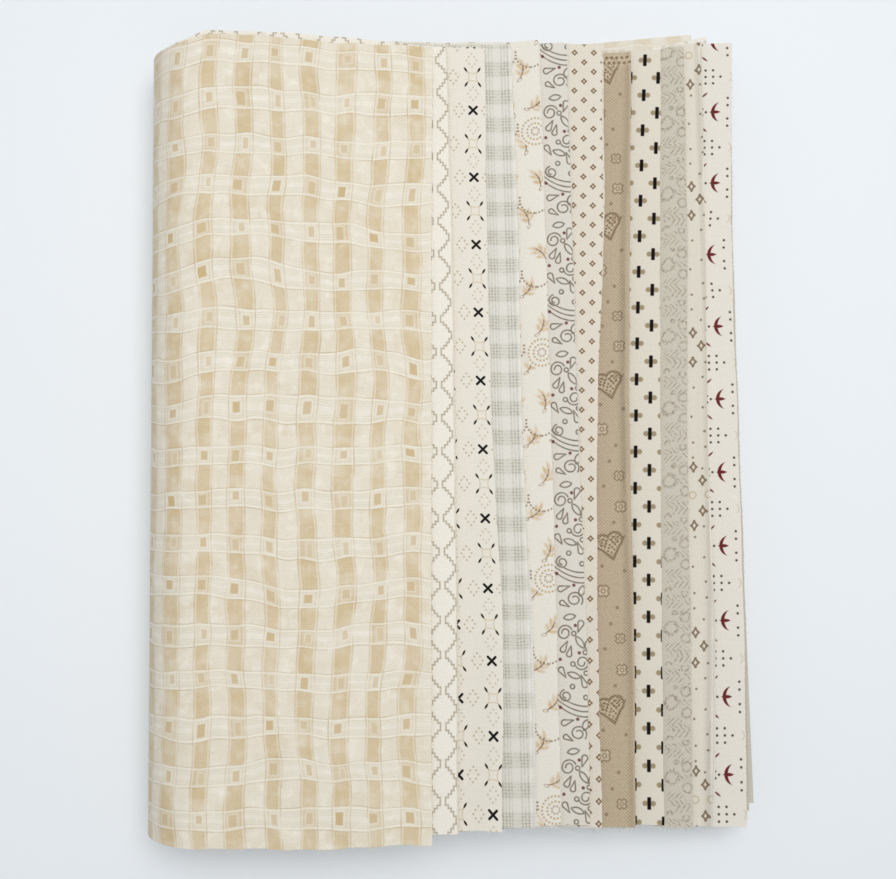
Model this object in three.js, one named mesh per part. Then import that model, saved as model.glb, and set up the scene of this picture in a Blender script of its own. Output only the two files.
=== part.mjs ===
// A bundle of printed quilting cottons. Thirteen cut cloths, each folded double, are laid in a fan and then
// turned over together once, round a soft fold at the left. Every cloth is one solid sheet that runs from the
// hidden end of its lower half, round the fold, to the right edge of its upper half.
import * as THREE from 'three';

// Driving dimensions in millimetres. X runs away from the fold, Y along it and Z up from the table.
const CLOTH_THICKNESS = 1.0;
const STACK_PITCH = 1.35;
const INNERMOST_FOLD_RADIUS = 0.9;
const FOLD_X = -70.0;
const FOLD_LEAN_PER_MM = -0.008;

// The stack is puffed up where it turns over, and lies pressed from this far along X.
const PUFF = 0.04;
const PUFF_FROM_X = -45;
const PUFF_TO_X = 15;
const PUFF_WAVE = 0.2;
const PUFF_WAVE_LENGTH = 240;

// The long edges keep their place near the fold and drift sideways from this share of the upper half on.
const DRIFT_FROM = 0.3;

// The sheets' faces are divided at the same places in every cloth, so that they stay side by side.
const LOWER_STEPS = 6;
const FOLD_STEPS = 10;
const UPPER_STEP = 15;
const SHORTEST_LAST_STEP = 5;
const STEPS_ALONG_FOLD = 6;

// One row for each cloth, from the outside of the fold inwards.
// edge: X of the upper half's right edge at five even places from its near to its far corner.
// near, far: Y of the two long edges, first at the fold and then at that right edge.
// underNear, underFar: X and Y of the two corners at the hidden end of the lower half.
const CLOTHS = [
  {
    name: 'cloth_ribbon_check', colour: 0xe6dabf, edge: [-4.4, -4.6, -4.6, -4.7, -4.4],
    near: [-122.7, -121.7], far: [109.1, 107.0], underNear: [78.8, -106.0], underFar: [75.8, 122.6],
  },
  {
    name: 'cloth_stepped_quatrefoil', colour: 0xe8e4d8, edge: [3.0, 2.8, 2.1, 1.4, -0.2],
    near: [-119.7, -119.2], far: [111.8, 107.7], underNear: [83.2, -107.9], underFar: [80.2, 120.7],
  },
  {
    name: 'cloth_crosses_and_dots', colour: 0xe8e3d6, edge: [15.2, 15.6, 12.7, 11.4, 10.9],
    near: [-119.0, -118.3], far: [110.0, 108.0], underNear: [86.0, -118.3], underFar: [82.0, 111.3],
  },
  {
    name: 'cloth_grey_plaid', colour: 0xd8d7d1, edge: [24.2, 23.5, 21.5, 20.5, 18.5],
    near: [-120.0, -117.4], far: [109.6, 109.4], underNear: [83.0, -118.9], underFar: [79.5, 110.7],
  },
  {
    name: 'cloth_sprigs', colour: 0xe5e1d5, edge: [32.1, 31.1, 29.9, 28.5, 26.5],
    near: [-118.9, -117.1], far: [110.4, 110.7], underNear: [86.5, -117.7], underFar: [83.0, 112.1],
  },
  {
    name: 'cloth_paisley', colour: 0xd6cfc8, edge: [40.5, 39.7, 37.8, 36.4, 35.0],
    near: [-120.1, -117.3], far: [109.1, 110.3], underNear: [83.5, -119.3], underFar: [80.5, 110.5],
  },
  {
    name: 'cloth_small_diamonds', colour: 0xdfd8c9, edge: [44.0, 43.2, 43.5, 45.5, 45.6],
    near: [-118.1, -118.0], far: [111.3, 110.6], underNear: [85.5, -117.1], underFar: [82.5, 112.7],
  },
  {
    name: 'cloth_taupe_hearts', colour: 0xbda891, edge: [53.5, 53.7, 53.0, 53.6, 54.5],
    near: [-119.1, -118.5], far: [110.1, 108.6], underNear: [82.5, -118.7], underFar: [79.0, 111.1],
  },
  {
    name: 'cloth_bars_and_dots', colour: 0xe3ddd0, edge: [62.0, 62.0, 62.2, 62.7, 63.6],
    near: [-117.9, -117.8], far: [111.0, 110.0], underNear: [85.0, -117.9], underFar: [82.0, 111.9],
  },
  {
    name: 'cloth_grey_herringbone', colour: 0xcbc5b8, edge: [70.6, 70.4, 70.3, 70.9, 70.7],
    near: [-119.1, -118.6], far: [110.0, 111.6], underNear: [86.5, -118.5], underFar: [81.0, 111.5],
  },
  {
    name: 'cloth_diamonds_and_dots', colour: 0xdbd4c4, edge: [76.4, 77.4, 76.3, 76.4, 76.0],
    near: [-118.1, -118.8], far: [111.3, 112.8], underNear: [83.5, -118.1], underFar: [80.0, 112.3],
  },
  {
    name: 'cloth_red_birds', colour: 0xe4dfd4, edge: [86.4, 86.4, 85.5, 84.4, 85.5],
    near: [-118.5, -118.3], far: [110.8, 113.0], underNear: [87.0, -117.5], underFar: [82.0, 112.7],
  },
  {
    name: 'cloth_plain_stone', colour: 0xccc6b6, edge: [87.3, 87.2, 86.1, 85.2, 85.5],
    near: [-117.4, -114.3], far: [111.7, 113.0], underNear: [88.7, -112.1], underFar: [82.4, 112.5],
  },
];

const HALF = CLOTH_THICKNESS / 2;
const OUTER_FOLD_RADIUS = INNERMOST_FOLD_RADIUS + STACK_PITCH * (CLOTHS.length - 1);
const FOLD_CENTRE_Z = HALF + OUTER_FOLD_RADIUS;

const mix = (a, b, share) => a + (b - a) * share;

// A smooth curve through even places, read at a share from 0 to 1.
function alongEdge(places, share) {
  const spans = places.length - 1;
  const at = Math.min(Math.floor(share * spans), spans - 1);
  const u = share * spans - at;
  const p1 = places[at];
  const p2 = places[at + 1];
  const p0 = at > 0 ? places[at - 1] : 2 * p1 - p2;
  const p3 = at < spans - 1 ? places[at + 2] : 2 * p2 - p1;
  return p1 + 0.5 * u * (p2 - p0 + u * (2 * p0 - 5 * p1 + 4 * p2 - p3 + u * (3 * (p1 - p2) + p3 - p0)));
}

// How much thicker the stack stands at a place than where it lies pressed.
function puffAt(x, y) {
  const ramp = 1 - THREE.MathUtils.smootherstep(x, PUFF_FROM_X, PUFF_TO_X);
  return PUFF * ramp * (1 + PUFF_WAVE * Math.cos((2 * Math.PI * y) / PUFF_WAVE_LENGTH));
}

// The stations of one cloth's section, from the hidden end round the fold to the right edge. The turn is the
// direction from the middle of the fold, which is also the way the outer face looks: -90 degrees is down.
function stationsOf(cloth) {
  const upperLength = Math.min(...cloth.edge) - FOLD_X - SHORTEST_LAST_STEP;
  const stations = [];
  for (let i = 0; i < LOWER_STEPS; i++) {
    stations.push({ run: 'lower', share: 1 - i / LOWER_STEPS, turn: -Math.PI / 2 });
  }
  for (let i = 0; i <= FOLD_STEPS; i++) {
    stations.push({ run: 'fold', turn: Math.PI * (i / FOLD_STEPS - 0.5) });
  }
  for (let along = UPPER_STEP; along < upperLength; along += UPPER_STEP) {
    stations.push({ run: 'upper', along, turn: Math.PI / 2 });
  }
  stations.push({ run: 'edge', turn: Math.PI / 2 });
  return stations;
}

// The middle of the sheet's thickness at a station, at a share of the way from the near to the far edge.
function middleOfSheet(cloth, radius, station, across) {
  const { run, share, along, turn } = station;
  const edgeX = alongEdge(cloth.edge, across);
  let drift = run === 'edge' ? 1 : 0;
  if (run === 'upper') drift = THREE.MathUtils.smoothstep(along / (edgeX - FOLD_X), DRIFT_FROM, 1);
  let near = mix(cloth.near[0], cloth.near[1], drift);
  let far = mix(cloth.far[0], cloth.far[1], drift);
  if (run === 'lower') {
    near = mix(near, cloth.underNear[1], share);
    far = mix(far, cloth.underFar[1], share);
  }
  const y = mix(near, far, across);
  const foldX = FOLD_X + FOLD_LEAN_PER_MM * y;
  let x = foldX - radius * Math.cos(turn);
  if (run === 'upper') x = foldX + along;
  if (run === 'edge') x = edgeX;
  if (run === 'lower') x = mix(foldX, mix(cloth.underNear[0], cloth.underFar[0], across), share);
  const pressedZ = FOLD_CENTRE_Z + radius * Math.sin(turn);
  const z = HALF + (pressedZ - HALF) * (1 + puffAt(x, y));
  return new THREE.Vector3(x, y, z);
}

// One closed sheet: its outer face, its inner face, and the four narrow cut edges between them.
function clothGeometry(cloth, radius) {
  const stations = stationsOf(cloth);
  const positions = [];
  for (const side of [HALF, -HALF]) {
    for (const station of stations) {
      const out = new THREE.Vector3(-Math.cos(station.turn), 0, Math.sin(station.turn));
      for (let j = 0; j <= STEPS_ALONG_FOLD; j++) {
        const point = middleOfSheet(cloth, radius, station, j / STEPS_ALONG_FOLD);
        positions.push(...point.addScaledVector(out, side).toArray());
      }
    }
  }
  const row = STEPS_ALONG_FOLD + 1;
  const last = stations.length - 1;
  const outer = (i, j) => i * row + j;
  const inner = (i, j) => (stations.length + i) * row + j;
  const faces = [];
  const quad = (a, b, c, d) => faces.push(a, b, c, a, c, d);
  for (let i = 0; i < last; i++) {
    for (let j = 0; j < STEPS_ALONG_FOLD; j++) {
      quad(outer(i, j), outer(i + 1, j), outer(i + 1, j + 1), outer(i, j + 1));
      quad(inner(i, j + 1), inner(i + 1, j + 1), inner(i + 1, j), inner(i, j));
    }
    const j = STEPS_ALONG_FOLD;
    quad(outer(i, 0), inner(i, 0), inner(i + 1, 0), outer(i + 1, 0));
    quad(outer(i + 1, j), inner(i + 1, j), inner(i, j), outer(i, j));
  }
  for (let j = 0; j < STEPS_ALONG_FOLD; j++) {
    quad(outer(0, j + 1), inner(0, j + 1), inner(0, j), outer(0, j));
    quad(outer(last, j), inner(last, j), inner(last, j + 1), outer(last, j + 1));
  }
  const geometry = new THREE.BufferGeometry();
  geometry.setAttribute('position', new THREE.Float32BufferAttribute(positions, 3));
  geometry.setIndex(faces);
  geometry.computeVertexNormals();
  return geometry;
}

const bundle = new THREE.Group();
CLOTHS.forEach((cloth, index) => {
  const radius = OUTER_FOLD_RADIUS - STACK_PITCH * index;
  const material = new THREE.MeshStandardMaterial({ color: cloth.colour, roughness: 0.95, metalness: 0 });
  material.side = THREE.DoubleSide;
  const mesh = new THREE.Mesh(clothGeometry(cloth, radius), material);
  mesh.name = cloth.name;
  bundle.add(mesh);
});

// The origin is the middle of the footprint, on the table.
const box = new THREE.Box3().setFromObject(bundle);
const centre = box.getCenter(new THREE.Vector3());
bundle.position.set(-centre.x, -centre.y, -box.min.z);

export default bundle;
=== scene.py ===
from math import cos, pi, radians, sin
import bpy
import numpy as np
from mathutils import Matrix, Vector


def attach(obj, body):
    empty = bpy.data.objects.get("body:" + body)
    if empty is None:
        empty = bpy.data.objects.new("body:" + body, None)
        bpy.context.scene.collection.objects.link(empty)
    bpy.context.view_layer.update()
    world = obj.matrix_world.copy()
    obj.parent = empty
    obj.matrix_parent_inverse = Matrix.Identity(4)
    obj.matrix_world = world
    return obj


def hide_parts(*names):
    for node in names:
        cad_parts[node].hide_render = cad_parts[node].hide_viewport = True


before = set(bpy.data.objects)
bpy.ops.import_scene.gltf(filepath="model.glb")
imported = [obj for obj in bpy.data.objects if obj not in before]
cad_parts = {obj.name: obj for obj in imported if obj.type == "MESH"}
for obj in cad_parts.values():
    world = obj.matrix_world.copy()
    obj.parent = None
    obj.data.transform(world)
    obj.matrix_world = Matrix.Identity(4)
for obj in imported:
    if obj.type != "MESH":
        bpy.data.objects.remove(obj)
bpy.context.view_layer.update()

# Outermost cloth. A plain-weave quilting cotton, cut square with a rotary cutter and folded double. The
# twelve others are laid on it in a fan, and all thirteen are turned over together once, so that its crease
# ends up hidden underneath, it covers the round fold, and its two raw edges lie on top.
MM = 0.001
PLY_THICKNESS = 0.32
PLY_OFFSET = 0.33
SPACE_FOR_ONE = 1.0
STACK_PITCH = 1.35
CLOTHS_IN_STACK = 13
INNERMOST_RADIUS = 0.9
OUTERMOST_RADIUS = INNERMOST_RADIUS + STACK_PITCH * (CLOTHS_IN_STACK - 1)
FOLD_X = -70.0
FOLD_LEAN = -0.008
PUFF, PUFF_FROM_X, PUFF_TO_X = 0.04, -45, 15
PUFF_WAVE, PUFF_WAVE_LENGTH = 0.2, 240
DRIFT_FROM = 0.3
NEAR_FOLD_CORNER = 2.0
FAR_FOLD_CORNER = 2.9
INNER_FAR_CORNER = 3.8
SLANT_FROM, SLANT_LENGTH = 0.028, 0.024
ROWS_ALONG_FOLD = 150
LOWER_STEPS, FOLD_STEPS, CREASE_STEPS = 8, 19, 7
HIDDEN_OVERLAP, HIDDEN_STEP = 4, 7
UNEVEN_STACK, UNEVEN_TOP = 0.35, 0.22
INNER_PLY_CURL, INNER_PLY_RIDGE = 0.35, 0.3
FAINT_INSIDE = 0.35
FAR_FROM_EDGE = 200.0
cut_edges = []


def smooth(values, start, end):
    share = np.clip((values - start) / (end - start), 0, 1)
    return share * share * (3 - 2 * share)


def smoother(values, start, end):
    share = np.clip((values - start) / (end - start), 0, 1)
    return share ** 3 * (share * (6 * share - 15) + 10)


def along_edge(places, share):
    """A smooth curve through even places, read at shares from 0 to 1."""
    spans = len(places) - 1
    padded = np.array([2 * places[0] - places[1], *places, 2 * places[-1] - places[-2]], float)
    at = np.minimum((share * spans).astype(int), spans - 1)
    u = share * spans - at
    p0, p1, p2, p3 = padded[at], padded[at + 1], padded[at + 2], padded[at + 3]
    return p1 + 0.5 * u * (p2 - p0 + u * (2 * p0 - 5 * p1 + 4 * p2 - p3 + u * (3 * (p1 - p2) + p3 - p0)))


def puff(x, y):
    """How much thicker the stack stands near its fold than where it lies pressed."""
    wave = 1 + PUFF_WAVE * np.cos(2 * pi * y / PUFF_WAVE_LENGTH)
    return PUFF * (1 - smoother(x, PUFF_FROM_X, PUFF_TO_X)) * wave


def ripple(x, y, seed):
    """A slow unevenness from -1 to 1, alike for all cloths that share a seed."""
    return (
        0.5 * np.sin(x / 19 + 1.3 * np.sin(y / 31 + seed) + seed)
        + 0.3 * np.sin(y / 23 + 0.9 * np.sin(x / 27 - seed) + 2.1 * seed)
        + 0.2 * np.sin((x + y) / 13 + 3.7 * seed)
    )


def placed(name, data):
    """A new object in the scene."""
    made = bpy.data.objects.new(name, data)
    bpy.context.scene.collection.objects.link(made)
    return made


def folded_cloth(name, order, edge, near, far, under_near, under_far, above, slack, lift, ridges=(),
                 tuck=(0.0, 0.0), bulge=0.0, far_turn=1, cut_aslant=False, columns=14):
    """One cloth as a thin closed sheet: an inner ply from its raw edge back round the fold to the hidden
    crease, then an outer ply the same way again. slack is how far the inner ply's raw edge stands out past
    the outer one, and lift how far the outer ply's raw edge stands up, both at even places from near to far.
    ridges are soft creases along the fold: distance from the raw edge, half width and height. tuck is how far
    the near and far cuts are pushed in where the next cloth covers them. bulge is how far the far cut bows
    out just past the fold, and far_turn how late the lower half's far cut swings out to its corner. A cloth
    that is cut_aslant comes out of its tuck on the shown strip, so that its far corner is slanted."""
    radius = OUTERMOST_RADIUS - STACK_PITCH * order
    half = SPACE_FOR_ONE / 2
    across = np.linspace(0, 1, ROWS_ALONG_FOLD)
    edge_x = along_edge(edge, across)
    above_x = along_edge(above, across) if above else np.full(ROWS_ALONG_FOLD, FOLD_X)
    hidden_share = 0.0
    if above:
        hidden_share = float(np.min((above_x - HIDDEN_OVERLAP - FOLD_X) / (edge_x - FOLD_X)))

    # A column of points has a place s on the way: 0 at the crease, 1 and 2 at the fold's ends, 3 at the edge.
    lower = np.linspace(0, 1, LOWER_STEPS)[:-1]
    turn_steps = np.linspace(1, 2, FOLD_STEPS)
    hidden_count = max(2, int(hidden_share * (edge_x.max() - FOLD_X) / HIDDEN_STEP))
    hidden_steps = np.linspace(2, 2 + hidden_share, hidden_count)[1:]
    shown_steps = 3 - (1 - hidden_share) * np.linspace(1, 0, columns + 1)[1:] ** 1.2
    outer_s = np.concatenate([lower, turn_steps, hidden_steps, shown_steps])
    inner_edge = 3 - (1 - hidden_share) * np.array([0.35, 0.2, 0.1, 0.04, 0.0])
    inner_s = np.concatenate([lower, turn_steps[::2], hidden_steps, inner_edge])[::-1]
    crease_angle = np.linspace(-pi / 2, pi / 2, CREASE_STEPS)[1:-1]
    s = np.concatenate([inner_s, np.zeros(len(crease_angle)), outer_s])
    flip = np.concatenate([np.full(len(inner_s), -pi / 2), crease_angle, np.full(len(outer_s), pi / 2)])

    s = s[:, None]
    flip = flip[:, None]
    inner = flip < 0
    lower_share = 1 - np.clip(s, 0, 1)
    turn = (np.clip(s - 1, 0, 1) - 0.5) * pi
    upper = np.clip(s - 2, 0, 1)
    drift = smooth(upper, DRIFT_FROM, 1)
    near_y = near[0] + (near[1] - near[0]) * drift + (under_near[1] - near[0]) * lower_share
    far_y = far[0] + (far[1] - far[0]) * drift + (under_far[1] - far[0]) * lower_share ** far_turn
    far_y = far_y + bulge * smooth(s, 1.0, 1.6) * (1 - smooth(s, 2.0, 2.6))
    into_tuck = smooth(upper, 0.1, 0.5)
    covered = into_tuck * (1 - smooth(upper, hidden_share - 0.02, hidden_share + 0.02))
    slanted = into_tuck * (1 - np.clip((upper - hidden_share - SLANT_FROM) / SLANT_LENGTH, 0, 1))
    rounded = np.cos(turn) * (s > 1) * (s < 2)
    near_y = near_y + covered * tuck[0] + NEAR_FOLD_CORNER * rounded ** 2
    far_corner = INNER_FAR_CORNER if order else FAR_FOLD_CORNER
    tucked_far = slanted if cut_aslant else covered
    far_y = far_y - tucked_far * tuck[1] - far_corner * (1 - (1 - rounded) ** 2)
    cut_wobble = 0.25 * np.sin(upper * 9 + order) + 0.15 * np.sin(upper * 31 + 2 * order)
    y = near_y + cut_wobble + (far_y - near_y) * across
    fold_x = FOLD_X + FOLD_LEAN * y
    rag = 0.08 * np.sin(across * 41 + order) + 0.04 * np.sin(across * 223 + 3 * order)
    rag = rag + 0.03 * np.sin(across * 401 + 7 * order)
    ply_x = edge_x + rag + np.where(inner, along_edge(slack, across), 0)
    hidden_x = under_near[0] + (under_far[0] - under_near[0]) * across
    x = fold_x - radius * np.cos(turn)
    x = np.where(s > 2, fold_x + (ply_x - fold_x) * upper, x)
    x = np.where(s < 1, fold_x + (hidden_x - fold_x) * lower_share, x)

    pressed = half + OUTERMOST_RADIUS + radius * np.sin(turn)
    z = half + (pressed - half) * (1 + puff(x, y))
    z = z + UNEVEN_STACK * ripple(x, y, 1.7) * (pressed / (2 * OUTERMOST_RADIUS))
    shown = smooth(x, edge_x - 14, edge_x)
    if above:
        shown = smooth(x, above_x + 1.5, np.maximum(edge_x, above_x + 3.0))
    curl = along_edge(lift, across) * shown * (s > 2)
    z = z + curl * np.where(inner, INNER_PLY_CURL, 1.0)
    for inset, half_width, height in ridges:
        crease_x = edge_x - inset + 0.5 * np.sin(across * 7 + order)
        ridge = height * np.exp(-((x - crease_x) / half_width) ** 2) * (s > 2)
        z = z + ridge * np.where(inner, INNER_PLY_RIDGE, 1.0)
    if order == 0:
        z = z + np.where(inner, 0.0, UNEVEN_TOP * (1 + ripple(1.7 * x, 1.4 * y, 4.4)) * smooth(s, 1.3, 2.2))

    # The printed side looks away from the middle of the two plies, all the way round the crease.
    out_x, out_z = -np.cos(turn), np.sin(turn)
    face_x = out_x * np.sin(flip) + (s == 0) * np.cos(flip)
    face_z = out_z * np.sin(flip)
    faces = []
    for offset in (PLY_OFFSET + PLY_THICKNESS / 2, PLY_OFFSET - PLY_THICKNESS / 2):
        faces.append(np.stack([x + offset * face_x, y, z + offset * face_z], axis=-1))
    cut_edges.append((faces[0][-columns:, 0], faces[0][-columns:, -1], faces[0][-1]))

    # The flat cloth's measures: u from the fold to the edge and v from near to far.
    u = np.where(s > 2, x, fold_x - radius * (pi / 2 - turn) - lower_share * (hidden_x - fold_x))
    crease_u = fold_x - radius * pi - (hidden_x - fold_x)
    u = np.where(inner, 2 * crease_u - u, u)
    v = np.broadcast_to(near[1] + (far[1] - near[1]) * across, x.shape)
    flat = np.stack([u, v], axis=-1).reshape(-1, 2) * MM

    mesh = closed_sheet(name, faces)
    uv_map = mesh.uv_layers.new(name="cloth")
    corner_vertex = np.empty(len(mesh.loops), np.int32)
    mesh.loops.foreach_get("vertex_index", corner_vertex)
    uv_map.data.foreach_set("uv", np.tile(flat, (2, 1))[corner_vertex].astype(np.float32).ravel())
    # The print shows only faintly on the inner ply inside the bundle.
    print_share = np.broadcast_to(np.where(inner & (s < 1), FAINT_INSIDE, 1.0), x.shape)
    printed = mesh.attributes.new("printed", "FLOAT", "POINT")
    both_sides = np.concatenate([print_share.ravel(), np.zeros(print_share.size)])
    printed.data.foreach_set("value", both_sides.astype(np.float32))
    distance = np.where((s > 2) & ~inner, ply_x - x, FAR_FROM_EDGE)
    from_edge = mesh.attributes.new("from_edge", "FLOAT", "POINT")
    from_edge.data.foreach_set("value", np.tile(distance.ravel(), 2).astype(np.float32))
    return placed(name, mesh)


def closed_sheet(name, faces):
    """A closed mesh from two grids of points, printed side first, with its four narrow walls."""
    points = np.concatenate([face.reshape(-1, 3) for face in faces]) * MM
    grid = np.arange(len(points) // 2).reshape(faces[0].shape[:2])
    back = grid + grid.size

    def quads(a, b, c, d):
        return np.stack([a, b, c, d], axis=-1).reshape(-1, 4)

    parts = [
        quads(grid[:-1, :-1], grid[1:, :-1], grid[1:, 1:], grid[:-1, 1:]),
        quads(back[:-1, 1:], back[1:, 1:], back[1:, :-1], back[:-1, :-1]),
        quads(grid[:-1, 0], back[:-1, 0], back[1:, 0], grid[1:, 0]),
        quads(grid[1:, -1], back[1:, -1], back[:-1, -1], grid[:-1, -1]),
        quads(grid[0, 1:], back[0, 1:], back[0, :-1], grid[0, :-1]),
        quads(grid[-1, :-1], back[-1, :-1], back[-1, 1:], grid[-1, 1:]),
    ]
    mesh = bpy.data.meshes.new(name)
    mesh.from_pydata(points, [], np.concatenate(parts).tolist())
    mesh.shade_smooth()
    mesh.set_sharp_from_angle(angle=radians(50))
    mesh.validate()
    return mesh


def new_material(name):
    """A material, its node tree and the shader in it."""
    material = bpy.data.materials.new(name)
    material.use_nodes = True
    return material, material.node_tree, material.node_tree.nodes["Principled BSDF"]


def fill(tree, node, inputs):
    """Links the sockets and sets the plain values given for a node's inputs."""
    for name, value in inputs.items():
        if isinstance(value, bpy.types.NodeSocket):
            tree.links.new(value, node.inputs[name])
        else:
            node.inputs[name].default_value = value


def new_node(tree, kind, *inputs, operation="", **named):
    """A new node with its first inputs and some named ones filled."""
    node = tree.nodes.new("ShaderNode" + kind)
    if operation:
        node.operation = operation
    fill(tree, node, {**dict(enumerate(inputs)), **named})
    return node


class Field:
    """A number that changes over the cloth, as an output of the material's nodes. Sizes are in mm."""

    def __init__(self, tree, socket):
        self.tree = tree
        self.socket = socket

    def by(self, operation, *others, clamp=False):
        values = [value.socket if isinstance(value, Field) else value for value in (self, *others)]
        node = new_node(self.tree, "Math", *values, operation=operation)
        node.use_clamp = clamp
        return Field(self.tree, node.outputs[0])

    def __add__(self, other):
        return self.by("ADD", other)

    def __sub__(self, other):
        return self.by("SUBTRACT", other)

    def __rsub__(self, other):
        return self.by("MULTIPLY_ADD", -1.0, other)

    def __mul__(self, other):
        return self.by("MULTIPLY", other)

    def __abs__(self):
        return self.by("ABSOLUTE")

    def least(self, other):
        return self.by("MINIMUM", other)

    def most(self, other):
        return self.by("MAXIMUM", other)

    def sine(self):
        return self.by("SINE")

    def repeated(self, pitch):
        """The distance from the nearest of a row of even places."""
        return self.by("WRAP", pitch / 2, -pitch / 2)

    def number(self, pitch):
        """The number of that place in its row."""
        return self.by("MULTIPLY_ADD", 1 / pitch, 0.5).by("FLOOR")

    def odd(self):
        return self.by("FLOORED_MODULO", 2.0)

    def joined(self, other, third=0.0):
        """A vector of this field, another one and a plain number."""
        return new_node(self.tree, "CombineXYZ", self.socket, other.socket, third).outputs[0]

    def length(self, other):
        """The distance from where both fields are 0."""
        node = new_node(self.tree, "VectorMath", self.joined(other), operation="LENGTH")
        return Field(self.tree, node.outputs["Value"])

    def within(self, half_width, soft=0.13):
        """1 where the field is under half_width, and 0 past it, with a soft limit as ink has on cotton."""
        return self.by("MULTIPLY_ADD", -0.5 / soft, 0.5 + half_width * 0.5 / soft, clamp=True)

    def line(self, width, soft=0.13):
        """1 along the line where the field is 0."""
        return abs(self).within(width / 2, soft)


def turned(x, y, degrees):
    c, s = cos(radians(degrees)), sin(radians(degrees))
    return x * c + y * s, y * c - x * s


def dash(x, y, length):
    """The distance from a straight stroke along x."""
    return (abs(x) - length / 2).most(0.0).length(y)


def leaf(x, y, half_length, half_width):
    """The distance outside a pointed leaf that lies along x, and below 0 inside it."""
    radius = (half_length ** 2 + half_width ** 2) / (2 * half_width)
    return x.length(abs(y) + (radius - half_width)) - radius


def linear(colour):
    """A screen colour of three numbers up to 255 as the light it stands for."""
    shares = [c / 255 for c in colour]
    return [c / 12.92 if c <= 0.04045 else ((c + 0.055) / 1.055) ** 2.4 for c in shares] + [1.0]


DRAG_FROM_V = -40.0


class Cotton:
    """A printed plain-weave cotton. u and v are the flat cloth's measures from a chosen origin. No cut
    follows its print exactly: lean and bend are how far the print runs off the straight, and drag how it
    is pulled longer towards the near edge. pulls draw it sideways: v, amount and half width of each."""

    def __init__(self, name, ground, origin=(0.0, 0.0), lean=0.0, bend=0.0, drag=0.0, pulls=()):
        self.material, self.tree, self.shader = new_material(name)
        uv_map = new_node(self.tree, "UVMap")
        uv_map.uv_map = "cloth"
        split = new_node(self.tree, "SeparateXYZ", uv_map.outputs[0])
        self.flat_u = Field(self.tree, split.outputs[0]) * (1 / MM)
        self.flat_v = Field(self.tree, split.outputs[1]) * (1 / MM)
        pulled = (DRAG_FROM_V - self.flat_v).most(0.0)
        self.v = self.flat_v + pulled * pulled * drag - origin[1]
        self.u = self.flat_u - origin[0] - self.flat_v * lean
        if bend:
            self.u = self.u - self.flat_v * self.flat_v * bend
        for place, amount, half_width in pulls:
            away = (self.flat_v - place) * (1 / half_width)
            self.u = self.u - (away * away * -1.0).by("EXPONENT") * amount
        self.from_edge = self.measure("from_edge")
        self.ground = ground
        colour = new_node(self.tree, "RGB")
        colour.outputs[0].default_value = linear(ground)
        self.colour = colour.outputs[0]

    def measure(self, name):
        """A value stored on the cloth's points."""
        node = new_node(self.tree, "Attribute")
        node.attribute_name = name
        return Field(self.tree, node.outputs["Fac"])

    def noise(self, size, seed=0.0, stretch=1.0, detail=1.0):
        """Cloudy unevenness from about -0.5 to 0.5, with clouds of that size."""
        place = (self.flat_u * (1 / (size * stretch))).joined(self.flat_v * (1 / size), seed)
        node = new_node(self.tree, "TexNoise", place, Scale=1.0, Detail=detail)
        return Field(self.tree, node.outputs[0]) - 0.5

    def chance(self, column, row, seed=0.0):
        """A number from 0 to 1 drawn afresh for each column and row of a repeat."""
        node = new_node(self.tree, "TexWhiteNoise", column.joined(row, seed))
        return Field(self.tree, node.outputs["Value"])

    def ink(self, mask, colour, strength=1.0):
        """Prints a colour where the mask is 1."""
        mix = new_node(self.tree, "Mix")
        mix.data_type = "RGBA"
        share = mask.by("MULTIPLY", strength, clamp=True)
        fill(self.tree, mix, {0: share.socket, 6: self.colour, 7: linear(colour)})
        self.colour = mix.outputs[2]

    def shade(self, amount):
        """Darkens or lightens the cloth by a share that may change over it."""
        share = (amount + 1.0).socket
        node = new_node(self.tree, "VectorMath", self.colour, operation="SCALE", Scale=share)
        self.colour = node.outputs[0]

    def weave(self, pitch=0.475, contrast=0.035, grain=0.16, back=0.7, one_way=0.7):
        """Finishes the cloth: threads crossing over and under, a few thick ones, the unprinted back and nap.
        one_way is how far the crossings line up one way only, as they do in most of these cloths."""
        turn = pi / pitch
        rising = ((self.flat_u + self.flat_v) * turn).sine()
        falling = ((self.flat_u - self.flat_v) * turn).sine()
        threads = rising * one_way + falling * (1 - one_way)
        slubs = self.noise(0.9, 5.0, stretch=14.0) + self.noise(0.9, 9.0, stretch=0.08)
        cloudy = self.noise(17.0, 3.0)
        uneven = self.noise(0.4, 21.0) * grain + self.noise(1.1, 23.0) * (grain * 0.3)
        self.shade(threads * contrast + uneven + slubs * 0.035 + cloudy * 0.025)
        self.ink(1.0 - self.measure("printed"), [c * 0.5 + 118 for c in self.ground], back)
        height = (threads + slubs * 1.5).socket
        bump = new_node(self.tree, "Bump", Strength=0.35, Distance=0.06 * MM, Height=height)
        fill(self.tree, self.shader, {
            "Base Color": self.colour, "Normal": bump.outputs[0], "Roughness": 0.88,
            "Specular IOR Level": 0.2, "Sheen Weight": 0.12, "Sheen Roughness": 0.5,
        })
        return self.material


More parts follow.
